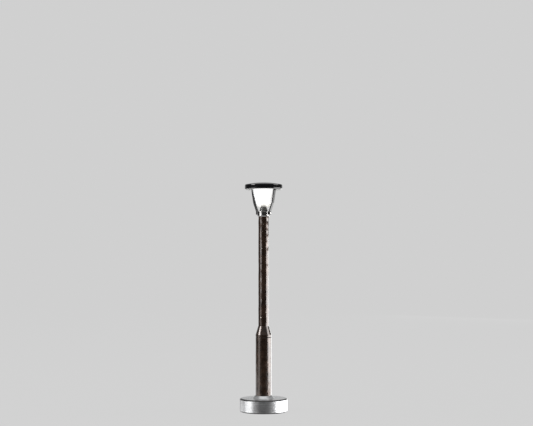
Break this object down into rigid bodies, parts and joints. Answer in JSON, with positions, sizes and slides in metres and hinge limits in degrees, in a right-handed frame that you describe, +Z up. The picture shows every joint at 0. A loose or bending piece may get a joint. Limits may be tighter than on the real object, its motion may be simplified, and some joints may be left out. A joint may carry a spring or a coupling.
{
  "type": "model street lamp",
  "caption": "Scale-model street lamp: stepped tubular mast on a turned disc base, with a conical glass lantern between two strap arms under a round domed roof.",
  "frame": {"origin": "centre of the base's underside", "axes": "+Z up along the mast's axis, with the lantern's two support arms along +X and -X"},
  "size_m": [0.0088, 0.0088, 0.043],
  "materials": {
    "turned_nickel": "fine turned satin nickel",
    "bright_nickel": "bright nickel plate",
    "dark_bronze": "dark bronze lacquer, semi-gloss, finely mottled",
    "gloss_black_paint": "gloss black",
    "white_paint": "satin white",
    "lit_glass": "frosted, glowing white when lit",
    "brass": "turned, bare",
    "white_plastic": "moulded",
    "dark_plastic": "moulded",
    "circuit_board": "green solder mask",
    "enamelled_copper": "clear enamel over copper",
    "led_phosphor": "moulded yellow lens"
  },
  "bodies": {
    "base": {"base_shell": "turned_nickel", "contact_board": "circuit_board", "lead_grommet": "dark_plastic", "series_resistor": "dark_plastic", "rectifier_diode": "dark_plastic", "socket_sleeve": "bright_nickel", "socket_insulator": "white_plastic", "centre_contact": "brass"},
    "retaining_ring": {"grip_ring": "turned_nickel"},
    "lamp": {"plug_sleeve": "brass", "plug_insulator": "white_plastic", "plug_pin": "brass", "lower_mast_tube": "dark_bronze", "mast_reducer": "dark_bronze", "upper_mast_tube": "dark_bronze", "feed_wire": "enamelled_copper", "return_wire": "enamelled_copper", "lamp_holder": "dark_plastic", "led_board": "white_plastic", "led_chip": "white_plastic", "led_lens": "led_phosphor", "lantern_glass": "lit_glass", "head_collar": "bright_nickel", "support_arm_right": "gloss_black_paint", "support_arm_left": "gloss_black_paint", "arm_rivet_right": "bright_nickel", "arm_rivet_left": "bright_nickel", "roof_plate": "white_paint", "roof_reflector": "white_paint", "roof_cap": "gloss_black_paint"}
  },
  "joints": [
    {"name": "mast_turn", "type": "hinge", "parent": "base", "child": "retaining_ring", "pos_m": [0, 0, 0], "axis": [0, 0, 1], "continuous": true},
    {"name": "mast_unplug", "type": "slide", "parent": "retaining_ring", "child": "lamp", "axis": [0, 0, 1], "range_m": [0, 0.005]}
  ]
}
